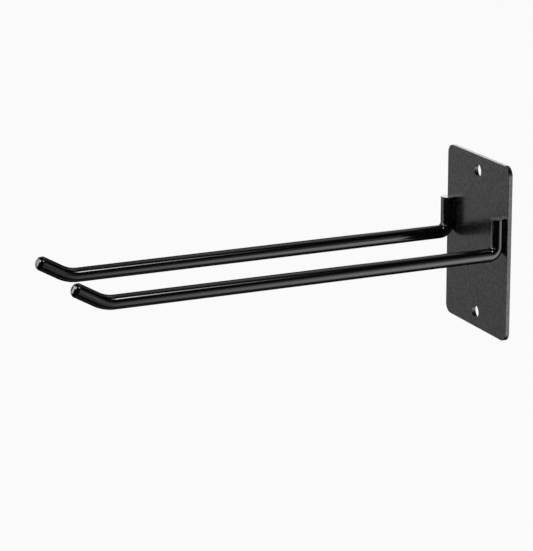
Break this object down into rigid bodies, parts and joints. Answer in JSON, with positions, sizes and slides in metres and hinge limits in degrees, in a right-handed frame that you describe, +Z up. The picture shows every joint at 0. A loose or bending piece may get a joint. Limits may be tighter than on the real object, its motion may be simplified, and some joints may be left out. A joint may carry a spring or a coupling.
{
  "type": "wall-mounted garden tool rack",
  "caption": "Steel wall rack for long-handled garden tools: an upright screw plate with a pair of long round-bar arms welded to it, turned up at the tips.",
  "frame": {"origin": "centre of the plate's back face, the point of the wall that the plate is centred on", "axes": "+Z up, +Y into the wall as the outward normal of the plate's back face, arms reaching out along -Y, +X to the right as seen from the room"},
  "size_m": [0.107, 0.3862, 0.152],
  "materials": {
    "plate_coat": "semi-gloss black powder coat with a fine grain",
    "bar_coat": "gloss black dipped coat"
  },
  "bodies": {
    "root": {"wall_plate": "plate_coat", "left_arm": "bar_coat", "left_arm_outer_weld": "bar_coat", "left_arm_inner_weld": "bar_coat", "right_arm": "bar_coat", "right_arm_outer_weld": "bar_coat", "right_arm_inner_weld": "bar_coat"}
  },
  "joints": []
}
